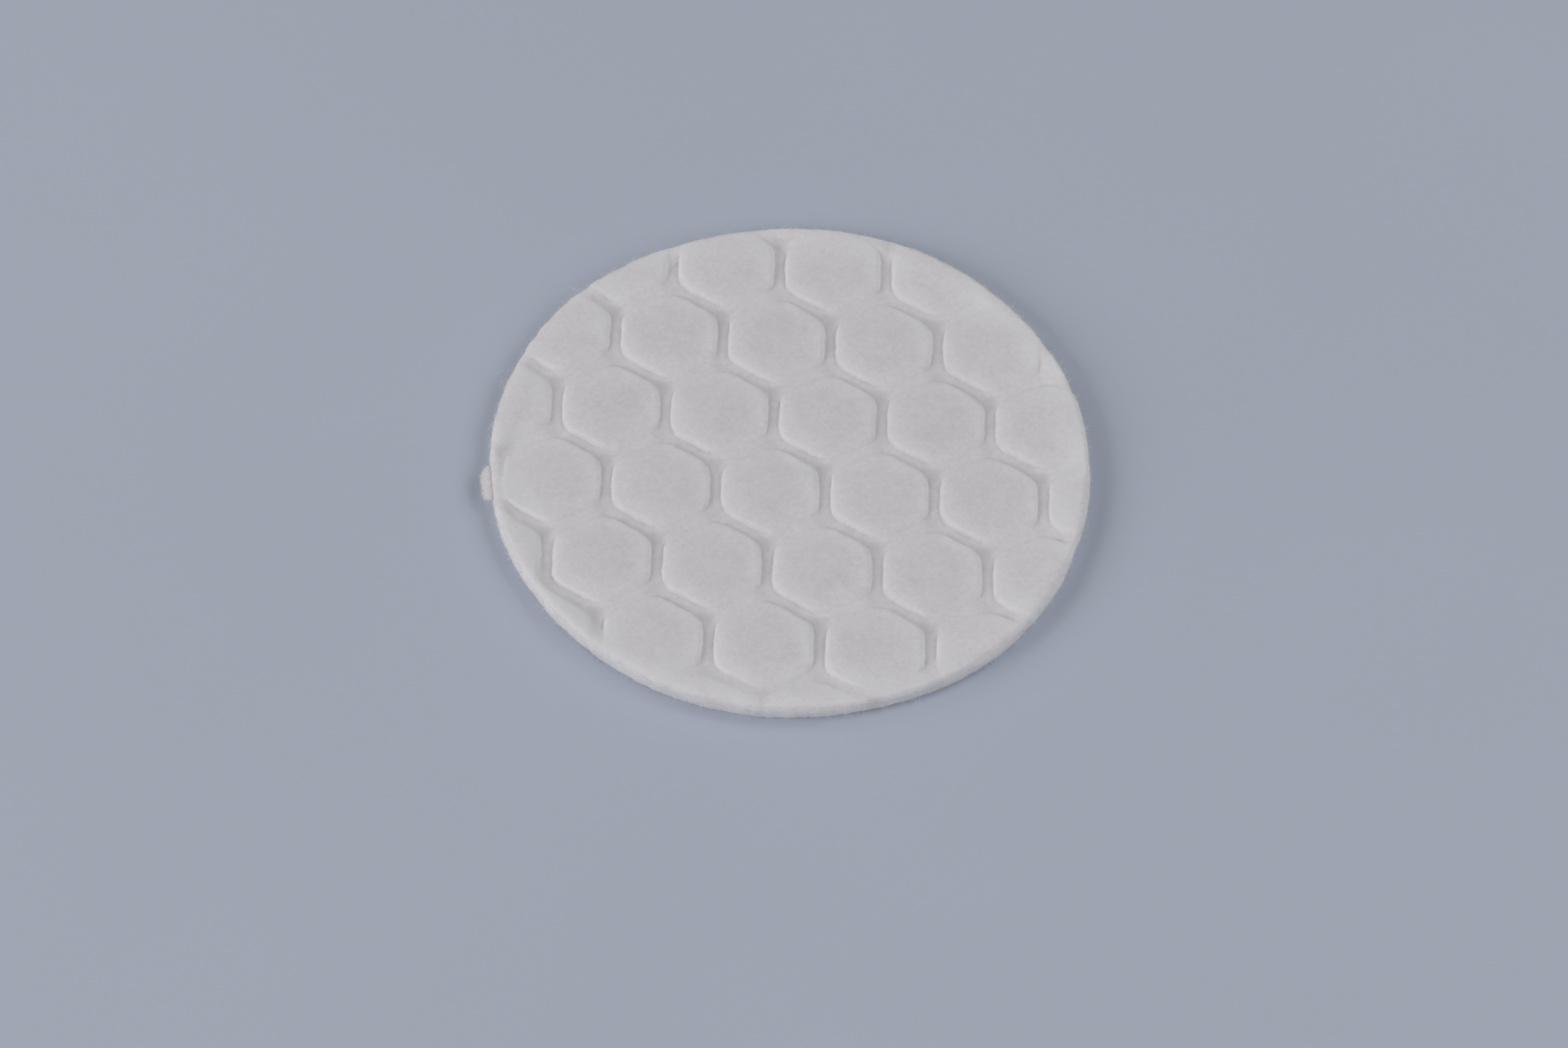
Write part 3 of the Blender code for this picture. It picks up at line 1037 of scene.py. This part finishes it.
def fibre_material(finish):
    """Single fibres: a little paler than the palest fleece, and changing along each fibre."""
    constants = {"Metallic": 0.0, "Sheen Weight": 0.20, "Specular IOR Level": 0.3}
    material, shader, shade = new_material("loose_fibre", constants)
    where = shade.node("ShaderNodeTexCoord", output="Object")
    along = noise(shade, where, 1500.0, 2.0, 0.6)
    paler = [(1 + pressed) / 2 for pressed in finish.pale_and_lit_colour]
    mixed(shade, along, finish.pale_and_lit_colour, paler).feeds(shader, "Base Color")
    (along * 0.2 + (finish.roughness - 0.25)).feeds(shader, "Roughness")
    return material


def floor_material(studio):
    """A matt table top with a faint cloudiness."""
    material, shader, shade = new_material("table_top", {"Specular IOR Level": 0.2})
    where = shade.node("ShaderNodeTexCoord", output="Object")
    cloudy = noise(shade, where, 14.0, 3.0, 0.6)
    light = [min(1.0, part * 1.03) for part in studio.floor_colour]
    dark = [part * 0.97 for part in studio.floor_colour]
    mixed(shade, cloudy, dark, light).feeds(shader, "Base Color")
    (cloudy * 0.1 + 0.75).feeds(shader, "Roughness")
    return material


def found_material(name, make, settings):
    """The material of that name, made on first use."""
    return bpy.data.materials.get(name) or make(settings)


# The studio.

# The camera that gives the photograph's view: how steeply it looks down, how it is rolled, how far
# off it stands, its lens, and the place on the tops of the cells that it looks at.
CAMERA_ELEVATION = math.radians(53.712)
CAMERA_ROLL = math.radians(-3.511)
CAMERA_DISTANCE = 565.99 * MM
CAMERA_LENS = 137.72
CAMERA_SENSOR = 36.0
AIM = Vector((-0.312 * MM, -7.552 * MM, CAD_THICKNESS))

FLOOR_HALF = 4.0
FLOOR_DROP = 0.01 * MM

KEY_TINT = (1.0, 0.97, 0.97)
FILL_TINT = (0.98, 0.97, 0.98)
AIR_TINT = (0.86, 0.90, 1.0, 1.0)
# Each lamp's bearing from the pad and height above the table in degrees, and its tint.
LAMPS = {
    "key": (207.0, 26.0, KEY_TINT),
    "right": (25.0, 42.0, FILL_TINT),
    "front": (324.0, 34.0, FILL_TINT),
    "back": (144.0, 34.0, FILL_TINT),
}
LAMP_DISTANCE = 0.9
LAMP_BREADTH = 0.50


def place_camera(scene):
    """The photograph's camera. It looks from the front, down at the pad, and is rolled a little."""
    data = bpy.data.cameras.new("photo_camera")
    data.lens = CAMERA_LENS
    data.sensor_width = CAMERA_SENSOR
    data.sensor_fit = "HORIZONTAL"
    data.clip_start = 0.01
    data.clip_end = 100.0
    camera = bpy.data.objects.new("photo_camera", data)
    scene.collection.objects.link(camera)
    right = Vector((1, 0, 0))
    up = Vector((0, math.sin(CAMERA_ELEVATION), math.cos(CAMERA_ELEVATION)))
    back = right.cross(up)
    axes = Matrix((right, up, back)).transposed() @ Matrix.Rotation(-CAMERA_ROLL, 3, "Z")
    camera.matrix_world = Matrix.Translation(AIM + back * CAMERA_DISTANCE) @ axes.to_4x4()
    scene.camera = camera


def place_lamp(scene, name, around, above, tint, watts):
    """A square soft lamp that faces the pad from a bearing and a height."""
    data = bpy.data.lights.new(name, "AREA")
    data.energy = watts
    data.size = LAMP_BREADTH
    data.color = tint
    light = bpy.data.objects.new(name, data)
    scene.collection.objects.link(light)
    az, el = math.radians(around), math.radians(above)
    away = Vector((math.cos(az) * math.cos(el), math.sin(az) * math.cos(el), math.sin(el)))
    light.location = away * LAMP_DISTANCE
    light.rotation_euler = away.to_track_quat("Z", "Y").to_euler()


def place_floor(studio):
    """A wide flat table top, just under the resting plane so that the pad's skin shows whole."""
    half = FLOOR_HALF
    corners = [(-half, -half), (half, -half), (half, half), (-half, half)]
    points = np.array([(x, y, -FLOOR_DROP) for x, y in corners])
    floor = mesh_piece("table_top", points, np.array([[0, 1, 2, 3]]), floor_material(studio))


def light_world(scene, studio):
    """Even light from all round, close to the table top's own colour."""
    world = bpy.data.worlds.new("studio_air")
    world.use_nodes = True
    background = world.node_tree.nodes["Background"]
    background.inputs["Color"].default_value = AIR_TINT
    background.inputs["Strength"].default_value = studio.ambient
    scene.world = world


# Operators and the panel.

class COTTON_OT_pressed_pad(bpy.types.Operator):
    """Make the pressed and swollen disc, with its honeycomb and its cut rim"""

    bl_idname = "cotton.pressed_pad"
    bl_label = "Pressed pad"

    def execute(self, context):
        scene = context.scene
        form = scene.cotton_form
        points, faces, past, _ = pad_skin(form, form.rings, swelling_of(form))
        material = found_material("bleached_fleece", fleece_material, scene.cotton_finish)
        piece = cotton_piece("pressed_pad", points, faces, material)
        x, y = points[:, 0], points[:, 1]
        # The whiter tone beside the walls, and the painted shade at their feet.
        for name, tone in zip(("shoulder", "hollow"), shoulder_tone_and_painted_shade(form, x, y, past)):
            add_attribute(piece, name, tone)
        # Painted light: the fleece is whiter near the rim.
        add_attribute(piece, "near_rim", 1 - smooth_step(*RIM_LIGHT_REACH, form.radius - np.hypot(x, y)))
        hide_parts(CAD_NODE)
        return {"FINISHED"}


class COTTON_OT_torn_tuft(bpy.types.Operator):
    """Make the tuft of fleece pulled out of the left of the rim, and its fibres"""

    bl_idname = "cotton.torn_tuft"
    bl_label = "Torn tuft"

    def execute(self, context):
        scene = context.scene
        form, tuft, fibres = scene.cotton_form, scene.cotton_tuft, scene.cotton_fibres
        fleece = found_material("bleached_fleece", fleece_material, scene.cotton_finish)
        loose = found_material("loose_fibre", fibre_material, scene.cotton_finish)
        cotton_piece("torn_tuft", *tuft_skin(form, tuft), fleece)
        fibre_piece("tuft_fibres", tuft_paths(form, tuft, fibres), fibres.thickness * FINE, 0.5, loose)
        return {"FINISHED"}


class COTTON_OT_rim_fibres(bpy.types.Operator):
    """Make the short nap and the longer curly wisps that stand out of the cut rim"""

    bl_idname = "cotton.rim_fibres"
    bl_label = "Rim fibres"

    def execute(self, context):
        scene = context.scene
        form, fibres = scene.cotton_form, scene.cotton_fibres
        loose = found_material("loose_fibre", fibre_material, scene.cotton_finish)
        fibre_piece("rim_nap", nap_paths(form, fibres), fibres.thickness * FINE, 0.5, loose)
        fibre_piece("rim_wisps", wisp_paths(form, fibres), fibres.thickness, 0.6, loose)
        return {"FINISHED"}


class COTTON_OT_face_lint(bpy.types.Operator):
    """Make the fibres that lie on the two faces"""

    bl_idname = "cotton.face_lint"
    bl_label = "Face lint"

    def execute(self, context):
        scene = context.scene
        form, fibres = scene.cotton_form, scene.cotton_fibres
        loose = found_material("loose_fibre", fibre_material, scene.cotton_finish)
        for side, name in ((UPPER, "upper_lint"), (LOWER, "lower_lint")):
            fibre_piece(name, lint_paths(form, fibres, side), fibres.thickness * FINE, 0.2, loose)
        return {"FINISHED"}


class COTTON_OT_studio(bpy.types.Operator):
    """Make the table top, the lights and the camera"""

    bl_idname = "cotton.studio"
    bl_label = "Studio"

    def execute(self, context):
        scene = context.scene
        studio = scene.cotton_studio
        scene.view_settings.view_transform = "Standard"
        place_floor(studio)
        for name, (around, above, tint) in LAMPS.items():
            place_lamp(scene, name + "_lamp", around, above, tint, getattr(studio, name + "_power"))
        light_world(scene, studio)
        place_camera(scene)
        return {"FINISHED"}


class COTTON_PT_panel(bpy.types.Panel):
    """Sizes, colours and the makers of the cotton pad"""

    bl_idname = "COTTON_PT_panel"
    bl_label = "Cotton pad"
    bl_space_type = "VIEW_3D"
    bl_region_type = "UI"
    bl_category = "Cotton pad"

    def draw(self, context):
        for label, group in GROUPS.items():
            box = self.layout.box()
            box.label(text=label)
            settings = getattr(context.scene, group)
            for name in settings.__annotations__:
                box.prop(settings, name)
        for operator in OPERATORS:
            self.layout.operator(operator.bl_idname)


GROUPS = {
    "Form": "cotton_form",
    "Finish": "cotton_finish",
    "Fibres": "cotton_fibres",
    "Tuft": "cotton_tuft",
    "Studio": "cotton_studio",
}
GROUP_TYPES = (PadForm, CottonFinish, LooseFibres, TornTuft, Studio)
OPERATORS = (
    COTTON_OT_pressed_pad,
    COTTON_OT_torn_tuft,
    COTTON_OT_rim_fibres,
    COTTON_OT_face_lint,
    COTTON_OT_studio,
)


def register():
    for kind in (*GROUP_TYPES, *OPERATORS, COTTON_PT_panel):
        bpy.utils.register_class(kind)
    for group, kind in zip(GROUPS.values(), GROUP_TYPES):
        setattr(bpy.types.Scene, group, PointerProperty(type=kind))


def unregister():
    for group in GROUPS.values():
        delattr(bpy.types.Scene, group)
    for kind in reversed((*GROUP_TYPES, *OPERATORS, COTTON_PT_panel)):
        bpy.utils.unregister_class(kind)


def main():
    register()
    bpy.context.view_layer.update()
    for operator in OPERATORS:
        group, name = operator.bl_idname.split(".")
        getattr(getattr(bpy.ops, group), name)()


if __name__ == "__main__":
    main()
